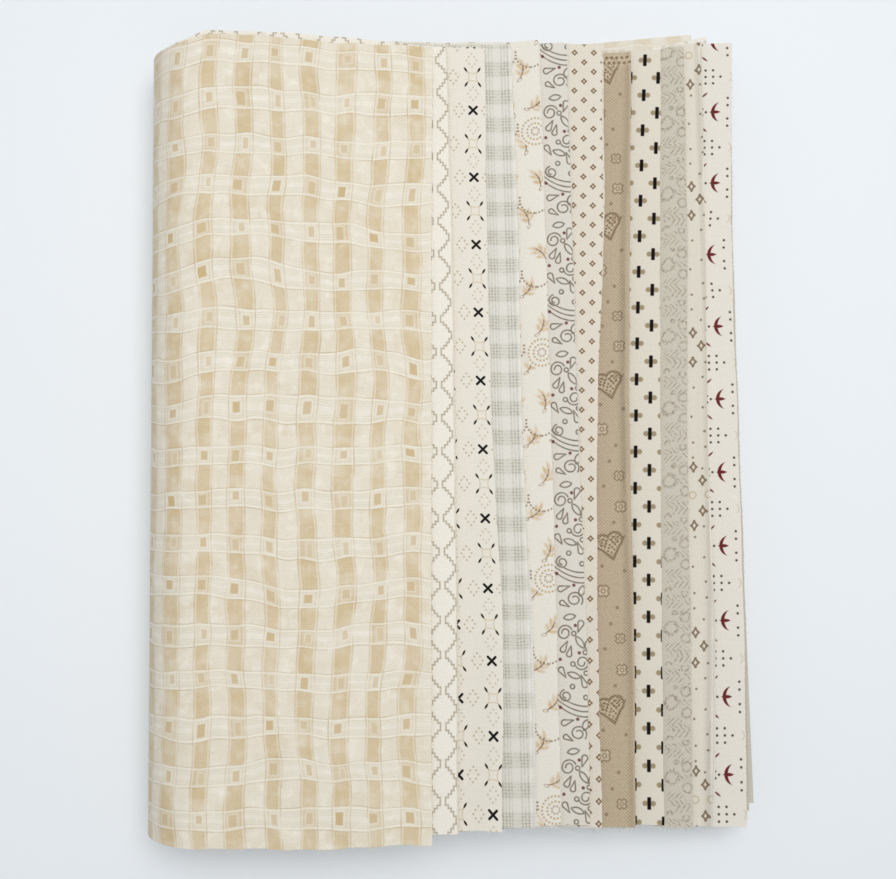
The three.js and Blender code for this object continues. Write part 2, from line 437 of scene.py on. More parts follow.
tan_edge = [-4.4, -4.6, -4.6, -4.7, -4.4]
tan = folded_cloth(
    "tan_ribbon_cloth", 0, tan_edge, near=(-122.7, -121.7), far=(109.1, 107.0),
    under_near=(78.8, -106.0), under_far=(75.8, 122.6), above=None,
    slack=(-0.8, -1.2, -0.7, -1.0, -1.4), lift=(0.3, 0.4, 0.3, 0.4, 0.3), bulge=1.6, columns=46,
)
cotton = Cotton("tan_ribbon_cotton", (231, 224, 208))
RIBBON_PITCH, BAND_PITCH = 12.7, 9.9
ribbon_y = cotton.v + cotton.noise(30, 1.0) * 8.0 + cotton.noise(11, 2.0) * 1.8
band_x = cotton.u + cotton.noise(34, 4.0) * 6.0 + cotton.noise(12, 6.0) * 1.5
row, column = ribbon_y.number(RIBBON_PITCH), band_x.number(BAND_PITCH)
from_ribbon, from_band = ribbon_y.repeated(RIBBON_PITCH), band_x.repeated(BAND_PITCH)
drawn = cotton.chance(column, row)
drawn_again = cotton.chance(column, row, 3.0)
# A band keeps one width along half of the cloth, and a ribbon keeps one across half of it.
band_side = abs(from_band) - (cotton.chance(column, row * 0.0, 1.0) * 0.9 + 2.0)
ribbon_side = abs(from_ribbon) - (cotton.chance(column * 0.0, row, 2.0) * 0.6 + 2.5)
in_band = band_side.within(0.0, 0.25)
in_ribbon = ribbon_side.within(0.0, 0.25)
washed = cotton.noise(7.5, 11.0, detail=2.0)
over = (row + column).odd()
cotton.ink(in_band, (214, 195, 158), washed * 1.6 + 0.72)
cotton.ink(in_band * drawn, (208, 186, 145), 0.45)
cotton.ink((1.0 - in_band) * drawn_again, (217, 203, 174), washed * 1.6 + 0.3)
cotton.ink(in_ribbon * (1.0 - in_band * over * 0.7), (233, 228, 214), washed * 0.6 + 0.85)
patches = cotton.noise(3.6, 31.0, detail=2.0) * 3.0
cotton.ink(patches.most(0.0) * (1.0 - in_band * 0.5), (242, 238, 227), 0.9)
for inset, strength in ((0.75, 0.7), (1.35, 0.5), (1.95, 0.4)):
    cotton.ink((ribbon_side + inset).line(0.22, 0.18), (200, 181, 146), washed * strength + strength * 0.7)
    cotton.ink((band_side + inset).line(0.22, 0.18), (196, 176, 140), washed * strength + strength * 0.5)
window_x = abs(from_band + (drawn_again - 0.5) * 1.2) - (drawn_again * 0.5 + 0.7)
window_y = abs(from_ribbon + (drawn - 0.5) * 0.8) - (drawn * 0.5 + 1.2)
window = window_x.most(window_y)
cotton.ink(window.within(0.45, 0.25) * (1.0 - over * 0.3), (237, 231, 217), 0.6)
cotton.ink(window.within(0.0, 0.2) * (1.0 - over * 0.2), (203, 180, 136), drawn_again * 0.5 + 0.5)
cotton.ink((ribbon_side + 0.3).line(0.62, 0.25), (239, 234, 220), 0.65)
cotton.ink((ribbon_side - 0.12).line(0.24), (190, 169, 132), washed * 1.6 + 0.5)
cotton.ink((band_side + 0.2).line(0.5, 0.2), (236, 229, 213), 0.45)
cotton.ink((band_side - 0.15).line(0.26, 0.18), (194, 172, 132), washed * 2.2 + 0.5)
tan.data.materials.append(cotton.weave(contrast=0.045, grain=0.2))
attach(tan, "root")
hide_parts("cloth_ribbon_check")

# Second cloth, a cream cotton printed with lanterns in stepped outlines, narrow at the neck. It is folded
# double, lies under the first one, and stands out by half a finger's width past it.
quatrefoil_edge = [3.0, 2.8, 2.1, 1.4, -0.2]
quatrefoil = folded_cloth(
    "stepped_quatrefoil_cloth", 1, quatrefoil_edge, near=(-119.7, -118.8), far=(111.8, 107.7),
    under_near=(83.2, -107.9), under_far=(80.4, 121.2), above=tan_edge,
    slack=(-0.9, -0.7, -0.5, -0.3, -0.2), lift=(0.5, 0.4, 0.4, 0.3, 0.4), bulge=0.4, far_turn=5,
)
cotton = Cotton(
    "stepped_quatrefoil_cotton", (238, 234, 223), origin=(-2.1, -1.4), lean=-0.0206, bend=-0.000125,
    drag=0.00066, pulls=((100, 1.4, 28), (-15, -0.5, 25)),
)
LANTERN_PITCH, LANTERN_COLUMN = 9.55, 9.0
column = cotton.u.number(LANTERN_COLUMN)
from_neck = (cotton.v + column.odd() * (LANTERN_PITCH / 2)).repeated(LANTERN_PITCH)
x, y = abs(cotton.u.repeated(LANTERN_COLUMN)), (LANTERN_PITCH / 2) - abs(from_neck)
outline = x - 0.75
for half_width, half_height in ((1.55, 3.8), (2.35, 3.0), (3.05, 2.1), (3.75, 1.0)):
    outline = outline.least((x - half_width).most(y - half_height))
worn = cotton.noise(0.8, 3.0) * 0.9 + 0.9
cotton.ink(outline.line(0.4, 0.18), (160, 146, 121), worn * 0.9)
# Painted shade: a thin darker line along the raw edge, where the edge's shadow falls.
cotton.ink((cotton.from_edge - 0.2).line(0.4, 0.2), (196, 184, 162), worn * 0.6)
quatrefoil.data.materials.append(cotton.weave())
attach(quatrefoil, "root")
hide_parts("cloth_stepped_quatrefoil")

# Third cloth, a cream cotton printed with small black crosses, tan stars with four short leaves round each,
# and rings of tan dots between them. It is folded double under the second one, and its near corner lies
# loosest of all and lifts off the stack.
crosses_edge = [15.2, 15.6, 12.7, 11.4, 10.9]
crosses = folded_cloth(
    "crosses_cloth", 2, crosses_edge, near=(-119.0, -117.9), far=(110.0, 108.0),
    under_near=(86.0, -118.3), under_far=(82.0, 111.3), above=quatrefoil_edge,
    slack=(-0.8, -0.5, 0.3, 0.2, -0.3), lift=(2.0, 1.6, 0.6, 0.5, 0.6),
)
cotton = Cotton(
    "crosses_cotton", (231, 226, 214), origin=(9.8, 9.7), lean=-0.0312, drag=0.00071,
    pulls=((98, 0.6, 14), (-76, 0.55, 20), (-114, -0.6, 12)),
)
CROSS_COLUMN, CROSS_ROW = 9.75, 9.93
column, row = cotton.u.number(CROSS_COLUMN), cotton.v.number(CROSS_ROW)
x, y = abs(cotton.u.repeated(CROSS_COLUMN)), abs(cotton.v.repeated(CROSS_ROW))
star = (row + column).odd()
between = (cotton.u + CROSS_COLUMN / 2).number(CROSS_COLUMN)
ring_side = 0.8 - (between + row).odd() * 1.6
ring_x = abs((cotton.u + CROSS_COLUMN / 2 - ring_side).repeated(CROSS_COLUMN))
ring_y = abs((cotton.v + CROSS_ROW / 2).repeated(CROSS_ROW))
for from_ring_x, from_ring_y, strength in ((x, ring_y, 0.65), (ring_x, y, 0.9)):
    for dot_x, dot_y in ((1.45, 0.0), (0.8, 1.05), (0.0, 1.95)):
        dot = (from_ring_x - dot_x).length(from_ring_y - dot_y)
        cotton.ink(dot.within(0.27, 0.15), (184, 168, 140), strength)
diagonal, away = turned(x, y, 45)
cotton.ink(dash(diagonal, away, 3.0).within(0.36, 0.1) * (1.0 - star), (10, 8, 6))
for across_star, along_star in ((x, y), (y, x)):
    side = (across_star - along_star * along_star * 0.16 - 1.1).line(0.26) * along_star.within(1.75)
    cotton.ink(side * star, (200, 182, 152), 0.75)
diagonal, away = turned(x - 1.95, y - 2.2, 58)
cotton.ink(leaf(diagonal, away, 0.86, 0.29).within(0.02, 0.1) * star, (40, 30, 20))
crosses.data.materials.append(cotton.weave())
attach(crosses, "root")
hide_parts("cloth_crosses_and_dots")

# Fourth cloth, a cotton with a light grey plaid, printed as groups of broken strokes so that it looks woven.
# It is folded double under the third one, and a thin shadow and a lighter band are painted along its raw
# edge.
plaid_edge = [24.2, 23.5, 21.5, 20.5, 18.5]
plaid = folded_cloth(
    "grey_plaid_cloth", 3, plaid_edge, near=(-120.0, -117.1), far=(109.6, 109.4),
    under_near=(83.0, -118.9), under_far=(79.5, 110.7), above=crosses_edge,
    slack=(0.9, 0.7, -0.6, -0.8, 0.4), lift=(0.6, 0.5, 0.4, 0.5, 0.5),
)
cotton = Cotton("grey_plaid_cotton", (226, 224, 215), origin=(16.9, 1.9), lean=-0.025)
PLAID_COLUMN, PLAID_ROW, PLAID_LINE = 9.6, 8.35, 0.92
x, y = cotton.u.repeated(PLAID_COLUMN), cotton.v.repeated(PLAID_ROW)
broken = cotton.noise(0.55, 2.0, stretch=1.6) * 4.0 + 0.75
side = y.repeated(PLAID_LINE).line(0.42, 0.24) * abs(y).within(2.1, 0.4)
cotton.ink(abs(y).within(2.2, 0.6), (214, 211, 200), 0.6)
cotton.ink(side * broken, (188, 184, 171), 0.5)
for group_x, half_width in ((-3.1, 1.9), (2.35, 1.4)):
    from_group = x - group_x
    up = from_group.repeated(PLAID_LINE).line(0.4, 0.22) * abs(from_group).within(half_width, 0.2)
    broken = cotton.noise(0.7, group_x, stretch=0.4) * 2.6 + 0.8
    cotton.ink(up * broken, (178, 176, 165), 0.52)
    cotton.ink(up * side * (broken + 0.3), (150, 143, 125), 0.68)
# Painted highlight in a band at the raw edge, and a painted shadow line about 1 mm in from it.
cotton.shade((cotton.from_edge - 0.35).line(0.7, 0.2) * 0.05 - (cotton.from_edge - 1.0).line(0.3, 0.2) * 0.08)
plaid.data.materials.append(cotton.weave())
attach(plaid, "root")
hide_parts("cloth_grey_plaid")

# Fifth cloth, a cream cotton printed with small tan sprigs, each a dark vein with soft leaves and a berry,
# with scallops of tiny dots and now and then a dotted medallion. It is folded double under the fourth one.
sprigs_edge = [32.1, 31.1, 29.9, 28.5, 26.5]
sprigs = folded_cloth(
    "sprig_cloth", 4, sprigs_edge, near=(-118.9, -117.1), far=(110.4, 110.7),
    under_near=(86.5, -117.7), under_far=(83.0, 112.1), above=plaid_edge,
    slack=(0.5, -0.4, -0.6, 0.2, 0.6), lift=(0.6, 0.5, 0.5, 0.4, 0.6),
)
cotton = Cotton("sprig_cotton", (230, 226, 215), origin=(27.0, 4.0), lean=-0.025)
SPRIG_COLUMN, SPRIG_ROW, SCALLOP = 8.2, 10.9, 21.8
row = cotton.v.number(SPRIG_ROW)
across_x = cotton.u + row.odd() * (SPRIG_COLUMN * 0.45) - 1.4
column = across_x.number(SPRIG_COLUMN)
angle = (cotton.chance(column, row) - 0.5) * 2.0 + 1.5
x, y = across_x.repeated(SPRIG_COLUMN), cotton.v.repeated(SPRIG_ROW)
angle_cos, angle_sin = angle.by("COSINE"), angle.sine()
along = x * angle_cos + y * angle_sin
aside = y * angle_cos - x * angle_sin
aside = aside - along * along * 0.11
washed = cotton.noise(1.3, 7.0) * 1.5 + 0.75
for leaf_x, leaf_y, degrees in ((0.9, 0.95, 38), (-0.9, 0.9, 55), (2.2, 0.0, 0)):
    leaf_along, leaf_aside = turned(along - leaf_x, abs(aside) - leaf_y, degrees)
    leaves = leaf(leaf_along, leaf_aside, 1.35, 0.5)
    cotton.ink(leaves.within(0.05, 0.35), (208, 182, 142), washed)
cotton.ink(dash(along + 0.4, aside, 4.0).within(0.17, 0.16), (128, 96, 64), washed * 0.6 + 0.45)
cotton.ink((along.length(aside) - 0.35).within(0.0, 0.25), (134, 100, 68), washed * 0.6)
cotton.ink(((along + 3.0).length(aside + 0.2) - 0.5).line(0.26, 0.15), (160, 132, 98), washed)
SCALLOP_RADIUS, BEAD = 4.3, 1.02
scallop_x = cotton.u.repeated(2 * SCALLOP_RADIUS)
scallop_y = cotton.v.repeated(SCALLOP) + 6.0
turn_of_scallop = scallop_x.by("ARCTAN2", scallop_y) * SCALLOP_RADIUS
bead = (scallop_x.length(scallop_y) - SCALLOP_RADIUS).length(turn_of_scallop.repeated(BEAD))
cotton.ink(bead.within(0.3, 0.15) * scallop_y.by("LESS_THAN", 1.0), (146, 126, 100), 0.9)
MEDALLION_PITCH = 65.4
medallion_x, medallion_y = cotton.u - 0.8, (cotton.v - 14.0).repeated(MEDALLION_PITCH)
reach = medallion_x.length(medallion_y)
cotton.ink(reach.within(4.7), (230, 226, 215))
turn_of_beads = medallion_x.by("ARCTAN2", medallion_y)
for ring, beads in ((3.9, 24), (2.4, 15)):
    bead = (reach - ring).length((turn_of_beads * ring).repeated(2 * pi * ring / beads))
    cotton.ink(bead.within(0.32, 0.15), (184, 160, 122), 0.85)
petals = abs((turn_of_beads * 4.0).sine()) * 0.5
cotton.ink((reach - petals - 0.75).line(0.3, 0.15), (150, 120, 84), 0.85)
sprigs.data.materials.append(cotton.weave())
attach(sprigs, "root")
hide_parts("cloth_sprigs")

# Sixth cloth, a pale mauve-grey cotton printed with a fine line drawing of scrolls, drops, leaves and rings
# and with a few dark red dots. It is folded double under the fifth one.
swirls_edge = [40.5, 39.7, 37.8, 36.4, 35.0]
swirls = folded_cloth(
    "scroll_cloth", 5, swirls_edge, near=(-120.1, -117.3), far=(109.1, 110.3),
    under_near=(83.5, -119.3), under_far=(80.5, 110.5), above=sprigs_edge,
    slack=(-0.6, -0.8, 0.4, 0.3, 0.5), lift=(0.6, 0.5, 0.5, 0.6, 0.5),
)
cotton = Cotton("scroll_cotton", (221, 216, 206), origin=(34.3, 0.0), lean=-0.022)
DRAWING_HEIGHT, DRAWING_WIDTH, PEN = 38.1, 15.2, 0.42
x, y = cotton.u.repeated(DRAWING_WIDTH), cotton.v.repeated(DRAWING_HEIGHT)


def drop(x, y, length, radius):
    """The distance outside a drop with its round end at the origin and its point along x."""
    along = x.most(0.0).least(length)
    return (x - along).length(y) + along * (radius / length) - radius


def hook(x, y, radius):
    """The distance from a spiral of one and a half turns, joined from three half circles."""
    upper = (abs(x.length(y) - radius * 0.75) - radius * 0.25)
    lower = (x + radius * 0.25).length(y) - radius * 0.75
    above = y.by("GREATER_THAN", 0.0)
    return abs(lower) + above * (abs(upper) - abs(lower))


stripe_y = y + 8.7 + x * 0.35 - x * x * 0.06
drawing = abs(stripe_y.repeated(1.5)) + (abs(stripe_y) - 2.4).most(0.0)
for at_x, at_y, degrees, radius in (
    (-1.9, 13.2, 20, 2.0), (2.4, 4.6, 200, 1.9), (-2.3, -4.6, 100, 1.6), (1.2, -15.6, -40, 2.1),
    (5.6, 9.5, 0, 2.0),
):
    drawing = drawing.least(hook(*turned(x - at_x, y - at_y, degrees), radius))
for at_x, at_y, degrees, length, radius in (
    (2.6, 15.8, 250, 2.6, 0.85), (-2.7, 8.4, 60, 2.6, 0.8), (-1.0, 7.0, 75, 2.4, 0.75),
    (-3.4, 2.6, 300, 2.5, 0.8), (3.2, -1.6, 110, 2.8, 0.8), (-2.9, -12.4, 15, 2.7, 0.85),
    (-2.6, -16.4, 330, 2.3, 0.7),
):
    drawing = drawing.least(abs(drop(*turned(x - at_x, y - at_y, degrees), length, radius)))
for at_x, at_y, degrees, half_length in (
    (2.2, 10.4, 125, 2.0), (0.2, 1.0, 160, 1.9), (3.1, -13.0, 70, 1.6), (-0.6, 17.6, 10, 1.7),
):
    drawing = drawing.least(abs(leaf(*turned(x - at_x, y - at_y, degrees), half_length, 0.8)))
for at_x, at_y in ((0.5, 12.9), (3.6, 7.6), (-0.3, -2.2), (3.4, -5.2), (3.7, 1.7), (0.0, 4.2)):
    drawing = drawing.least(abs((x - at_x).length(y - at_y) - 0.6))
pen_pressure = cotton.noise(1.5, 2.0) * 0.5 + 0.9
cotton.ink(drawing.within(PEN / 2, 0.16), (106, 94, 76), pen_pressure)
for at_x, at_y in ((1.0, 15.2), (-3.6, 5.6), (-3.9, -8.0), (1.9, 7.4), (0.9, -11.4)):
    cotton.ink((x - at_x).length(y - at_y).within(0.5), (104, 48, 44), 0.9)
swirls.data.materials.append(cotton.weave())
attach(swirls, "root")
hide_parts("cloth_paisley")

# Seventh cloth, a beige-cream cotton printed with small hollow diamonds in close half-drop columns. It is
# folded double under the sixth one.
diamonds_edge = [44.0, 43.2, 43.5, 45.5, 45.6]
diamonds = folded_cloth(
    "small_diamond_cloth", 6, diamonds_edge, near=(-118.1, -118.0), far=(111.3, 110.6),
    under_near=(85.5, -117.1), under_far=(82.5, 112.7), above=swirls_edge,
    slack=(-0.5, -0.4, -0.4, 0.5, 0.6), lift=(0.4, 0.4, 0.5, 0.6, 0.6),
)
cotton = Cotton("small_diamond_cotton", (225, 218, 204), origin=(39.0, 1.6), lean=0.014, drag=0.0006)
DIAMOND_COLUMN, DIAMOND_ROW = 2.83, 5.75
DIAMOND_BROWN = (128, 101, 70)
column = cotton.u.number(DIAMOND_COLUMN)
x = abs(cotton.u.repeated(DIAMOND_COLUMN))
y = abs((cotton.v + column.odd() * (DIAMOND_ROW / 2)).repeated(DIAMOND_ROW))
cotton.ink(((x + y) * 0.707 - 0.44).line(0.42), DIAMOND_BROWN, 0.95)
knob = (x - 0.66).length(y).least(x.length(y - 0.66))
cotton.ink(knob.within(0.24), DIAMOND_BROWN, 0.9)
diamonds.data.materials.append(cotton.weave())
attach(diamonds, "root")
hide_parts("cloth_small_diamonds")

# Eighth cloth, a taupe cotton whose weave shows most, printed with beaded hearts and small flowers, and with
# a paler band and two rows of knots near its far cut. It is folded double and softly creased down its strip,
# with painted shade and a painted highlight along the crease.
hearts_edge = [53.5, 53.7, 53.0, 53.6, 54.5]
hearts = folded_cloth(
    "taupe_heart_cloth", 7, hearts_edge, near=(-119.1, -118.1), far=(110.1, 108.6),
    under_near=(82.5, -118.7), under_far=(79.0, 111.1), above=diamonds_edge,
    slack=(-0.6, -0.3, -0.5, -0.6, -0.4), lift=(0.5, 0.5, 0.7, 0.6, 0.4),
    ridges=((0.9, 0.9, 0.9), (2.6, 0.8, -0.3)), tuck=(1.6, 0.0),
)
cotton = Cotton("taupe_heart_cotton", (186, 170, 145), origin=(47.6, 0.0))
HEART_COLUMN, HEART_PITCH = 14.0, 47.0
HEART_BROWN, PALE_TAUPE = (112, 88, 56), (207, 192, 167)
x, y = cotton.u.repeated(HEART_COLUMN), cotton.v.repeated(HEART_PITCH)


def beaded(distance, along, pitch):
    """A line of small beads instead of a plain line."""
    return distance.length(along.repeated(pitch))


heart_x, heart_y = turned(x + 0.6, y - 9.5, 14)
lobe = (abs(heart_x) - 1.75).length(heart_y - 1.1)
inside = (lobe - 2.15).least((abs(heart_x) * 0.78 - heart_y * 0.62 - 2.6).most(heart_y - 1.1))
cotton.ink(inside.within(0.0, 0.3), PALE_TAUPE, 0.45)
fill_x, fill_y = turned(abs(heart_x), heart_y, 30)
filling = beaded(fill_x.repeated(1.15), fill_y, 0.95).within(0.34, 0.15)
cotton.ink(filling * inside.within(-0.5), HEART_BROWN, 0.8)
cotton.ink(beaded(inside, heart_x + heart_y, 0.9).within(0.42, 0.15), HEART_BROWN, 0.85)
cotton.ink((lobe - 0.9).line(0.36, 0.2), HEART_BROWN, 0.7)
for at_x, at_y, radius in ((2.6, 20.5, 1.55), (-2.6, -3.8, 1.7), (2.2, -17.5, 1.4)):
    flower_x, flower_y = x - at_x, y - at_y
    reach = flower_x.length(flower_y)
    petals = (flower_x * flower_y * flower_x * flower_y * (8.0 / radius ** 4)).least(1.0) * 0.45
    flower = reach - radius - petals + 0.35
    cotton.ink(flower.within(0.0, 0.3), PALE_TAUPE, 0.75)
    cotton.ink(flower.line(0.34, 0.18), HEART_BROWN, 0.8)
    cotton.ink((reach - radius * 0.35).line(0.3, 0.18), HEART_BROWN, 0.8)
for at_x, at_y in ((0.6, 16.0), (-2.9, 3.4), (1.4, -8.6), (-0.5, -13.2), (-2.2, -20.4), (3.6, 2.0)):
    cotton.ink(((x - at_x).length(y - at_y) - 0.3).line(0.36), (112, 86, 60), 0.7)
RIM_V, KNOT_PITCH = 106.3, 1.5
from_rim = cotton.flat_v - RIM_V
cotton.ink(from_rim.line(3.6, 0.8), PALE_TAUPE, 0.5)
for row_v, shift in ((-0.8, 0.0), (0.8, 0.7)):
    knot = (cotton.flat_u + shift).repeated(KNOT_PITCH).length(from_rim - row_v)
    cotton.ink((knot - 0.3).within(0.16, 0.15), HEART_BROWN, 0.75)
# Painted shade in a band about 2 mm in from the raw edge and a painted highlight at the edge itself, over the
# middle part of the strip, along the crease.
midway = abs(cotton.flat_v + 2.0).within(78.0, 9.0)
crease_shade_and_highlight = (cotton.from_edge - 1.9).line(1.8, 0.9) * -0.09 + cotton.from_edge.within(0.8, 0.25) * 0.06
cotton.shade(crease_shade_and_highlight * midway)
hearts.data.materials.append(cotton.weave(contrast=0.15, grain=0.5, back=0.4, one_way=0.52))
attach(hearts, "root")
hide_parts("cloth_taupe_hearts")

# Ninth cloth, a cream cotton printed with upright black bars in half-drop columns, each with an olive dot at
# either side. It is folded double under the eighth one.
bars_edge = [62.0, 62.0, 62.2, 62.7, 63.6]
bars = folded_cloth(
    "bar_cloth", 8, bars_edge, near=(-117.9, -117.5), far=(111.0, 110.0),
    under_near=(85.0, -117.9), under_far=(82.0, 111.9), above=hearts_edge,
    slack=(-0.5, -0.3, -0.4, -0.5, -0.3), lift=(0.5, 0.4, 0.5, 0.4, 0.4), tuck=(1.0, 0.0),
)
cotton = Cotton("bar_cotton", (222, 216, 202), origin=(55.15, 0.36), lean=0.024, bend=0.0001)
BAR_COLUMN, BAR_ROW = 4.08, 10.65
column = cotton.u.number(BAR_COLUMN)
x = abs(cotton.u.repeated(BAR_COLUMN))
y = (cotton.v + column.odd() * (BAR_ROW / 2)).repeated(BAR_ROW)
cotton.ink((x - 1.15).length(y).within(0.78, 0.16), (154, 137, 106), 0.93)
cotton.ink((x - 0.27).most(0.0).length((abs(y) - 1.52).most(0.0)).within(0.3, 0.14), (10, 5, 2))
bars.data.materials.append(cotton.weave())
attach(bars, "root")
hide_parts("cloth_bars_and_dots")

# Tenth cloth, a grey cotton printed tone on tone with herringbone strokes and rings. It is folded double
# under the ninth one, and its far corner is slanted.
herringbone_edge = [70.6, 70.4, 70.3, 70.9, 70.7]
herringbone = folded_cloth(
    "herringbone_cloth", 9, herringbone_edge, near=(-119.1, -118.2), far=(110.0, 111.6),
    under_near=(86.5, -118.5), under_far=(81.0, 111.5), above=bars_edge,
    slack=(-0.4, 0.4, -0.3, 0.3, -0.4), lift=(0.5, 0.4, 0.4, 0.5, 0.5), tuck=(1.6, 2.2), cut_aslant=True,
)
cotton = Cotton("herringbone_cotton", (203, 197, 183), origin=(65.0, 3.0), lean=0.004)
RING_PITCH, STROKE_PITCH = 21.4, 1.5
SHADE_GREY = (122, 105, 84)
sketched_x = cotton.noise(1.4, 8.0) * 1.1
x, y = cotton.u + sketched_x, cotton.v.repeated(RING_PITCH) + sketched_x
worn = cotton.noise(0.8, 4.0) * 2.6 + 0.7
ring = x.length(y)
petals = abs((x * 3.4).sine() * (y * 3.4).sine()) * 0.5
cotton.ink((ring - petals - 1.6).line(0.62, 0.25), SHADE_GREY, worn * 0.66)
for at_x, at_y, radius in (
    (4.2, 3.1, 1.3), (4.4, -3.0, 1.3), (4.0, 10.0, 0.9), (-0.6, -10.4, 0.8), (1.3, 4.4, 0.5),
):
    loop = (x - at_x).length(y - at_y)
    cotton.ink((loop - radius).line(0.5, 0.22), SHADE_GREY, worn * 0.6)
for at_y, slope, left, right in (
    (6.6, 1.0, -1.6, 3.4), (8.7, -1.1, -1.8, 2.8), (-5.2, 1.1, -1.4, 3.2), (-7.2, -0.9, -1.0, 5.4),
    (-9.0, 0.7, 0.8, 5.6), (0.0, -0.9, 2.2, 5.8), (4.6, 0.9, 2.6, 5.8), (7.6, -0.8, 3.8, 5.8),
):
    stroke_x = (x - (y - at_y) * slope).repeated(STROKE_PITCH)
    reach = abs(y - at_y).within(0.95, 0.25) * abs(x - (left + right) / 2).within((right - left) / 2, 0.3)
    cotton.ink(stroke_x.line(0.46, 0.2) * reach, SHADE_GREY, worn * 0.62)
herringbone.data.materials.append(cotton.weave(contrast=0.06, grain=0.3))
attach(herringbone, "root")
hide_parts("cloth_grey_herringbone")

# Eleventh cloth, a cream cotton printed with hollow taupe diamonds in loose threes and fours, and with sparse
# small dots. It is folded double under the tenth one, and its shown strip lies in one long dip, with painted
# shade in the dip and a painted highlight along the raw edge.
threes_edge = [76.4, 77.4, 76.3, 76.4, 76.0]
threes = folded_cloth(
    "diamond_three_cloth", 10, threes_edge, near=(-118.1, -118.4), far=(111.3, 112.8),
    under_near=(83.5, -118.1), under_far=(80.0, 112.3), above=herringbone_edge,
    slack=(0.7, 0.5, -0.5, -0.7, 0.4), lift=(0.5, 0.6, 0.5, 0.5, 0.4),
    ridges=((0.3, 0.6, 0.8), (1.6, 0.7, -0.3)), tuck=(1.2, 3.0),
)
cotton = Cotton("diamond_three_cotton", (224, 218, 205), origin=(74.8, 21.2), lean=0.004)
THREES_PITCH, THREES_COLUMN = 44.0, 10.5
x, y = cotton.u.repeated(THREES_COLUMN), cotton.v.repeated(THREES_PITCH)
row = cotton.v.number(THREES_PITCH)
fuller = (abs(row + 2.0) - 1.0).line(0.5) + (row - 2.0).line(0.5)
three, four = 1.0 - fuller, fuller
for at_x, at_y, shown in (
    (-2.4, 4.0, three), (0.0, 0.0, three), (-2.5, -4.7, three),
    (-2.6, 8.2, four), (0.0, 4.2, four), (0.0, -4.7, four), (-2.5, -8.9, four),
):
    side_x, side_y = abs(x - at_x), abs(y - at_y)
    diamond = (side_x * 0.82 + side_y * 0.57 - 0.66).line(0.55)
    knob = side_x.length(side_y - 1.25).least((side_x - 0.86).length(side_y)).within(0.4)
    cotton.ink(diamond.most(knob) * shown, (124, 104, 79), 0.93)
for at_x in (-2.9, 1.7):
    cotton.ink(((x - at_x).length(y) - 1.0).line(0.34) * four, (186, 166, 132), 0.75)
for at_x, at_y in (
    (-3.0, -20.9), (-2.6, 15.4), (-2.7, 11.0), (0.0, 7.7), (0.9, 14.0), (0.7, 18.6),
    (0.3, -18.3), (0.3, -9.3), (-2.3, -12.3), (1.1, -5.0),
):
    cotton.ink((x - at_x).length(y - at_y).within(0.36, 0.15), (126, 110, 86), 0.88)
# Painted highlight along the raw edge, and painted shade about 2 mm in from it, deeper towards the near end.
dip_shade_depth = (30.0 - cotton.flat_v) * 0.0004 + 0.04
cotton.shade(cotton.from_edge.within(0.75, 0.2) * 0.05 - (cotton.from_edge - 2.0).line(1.9, 0.7) * dip_shade_depth)
threes.data.materials.append(cotton.weave())
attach(threes, "root")
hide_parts("cloth_diamonds_and_dots")

# Twelfth cloth, an off-white cotton printed with dark red birds in half-drop columns and with black dots in
# small groups between them. It is folded double under the eleventh one.
birds_edge = [86.4, 86.4, 85.5, 84.4, 85.5]
birds = folded_cloth(
    "red_bird_cloth", 11, birds_edge, near=(-119.2, -119.0), far=(110.8, 113.0),
    under_near=(87.0, -117.5), under_far=(82.0, 112.7), above=threes_edge,
    slack=(-0.5, -0.6, -0.5, 0.4, -0.5), lift=(0.5, 0.5, 0.4, 0.4, 0.4), tuck=(1.0, 3.2),
)
cotton = Cotton(
    "red_bird_cotton", (229, 224, 214), origin=(80.4, 5.3), lean=-0.008, drag=0.0003,
    pulls=((106, 0.9, 16), (49, -1.65, 13)),
)
BIRD_COLUMN, BIRD_ROW = 11.8, 21.65
column = cotton.u.number(BIRD_COLUMN)
x = cotton.u.repeated(BIRD_COLUMN)
row_y = cotton.v + column.odd() * (BIRD_ROW / 2)
y, between_y = abs(row_y.repeated(BIRD_ROW)), abs((row_y + BIRD_ROW / 2).repeated(BIRD_ROW))
wings = ((x - 1.89).length(y) - 3.0).most(4.1 - (x - 4.05).length(y))
bird = wings.least(leaf(x - 0.1, y, 1.6, 0.5))
cotton.ink(bird.within(0.0, 0.12), (104, 10, 20), 0.98)
dots = (x + 2.9).length(between_y)
for dot_x, dot_y in ((-2.9, 2.0), (-0.65, 0.0), (-0.65, 2.0), (1.53, 0.0)):
    dots = dots.least((x - dot_x).length(between_y - dot_y))
for dot_x, dot_y in ((3.8, 2.05), (3.8, 4.25), (-2.6, 0.0), (-3.7, 0.95)):
    dots = dots.least((x - dot_x).length(y - dot_y))
cotton.ink(dots.within(0.38, 0.13), (56, 50, 41), 0.93)
cotton.ink(leaf(*turned(x + 3.1, y - 5.3, 40), 1.15, 0.3).within(0.0), (104, 26, 30), 0.95)
cotton.ink(((x - 3.4).length(between_y) - 1.5).line(0.34) * x.by("GREATER_THAN", 4.2), (200, 188, 166), 0.7)
birds.data.materials.append(cotton.weave())
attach(birds, "root")
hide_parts("cloth_red_birds")

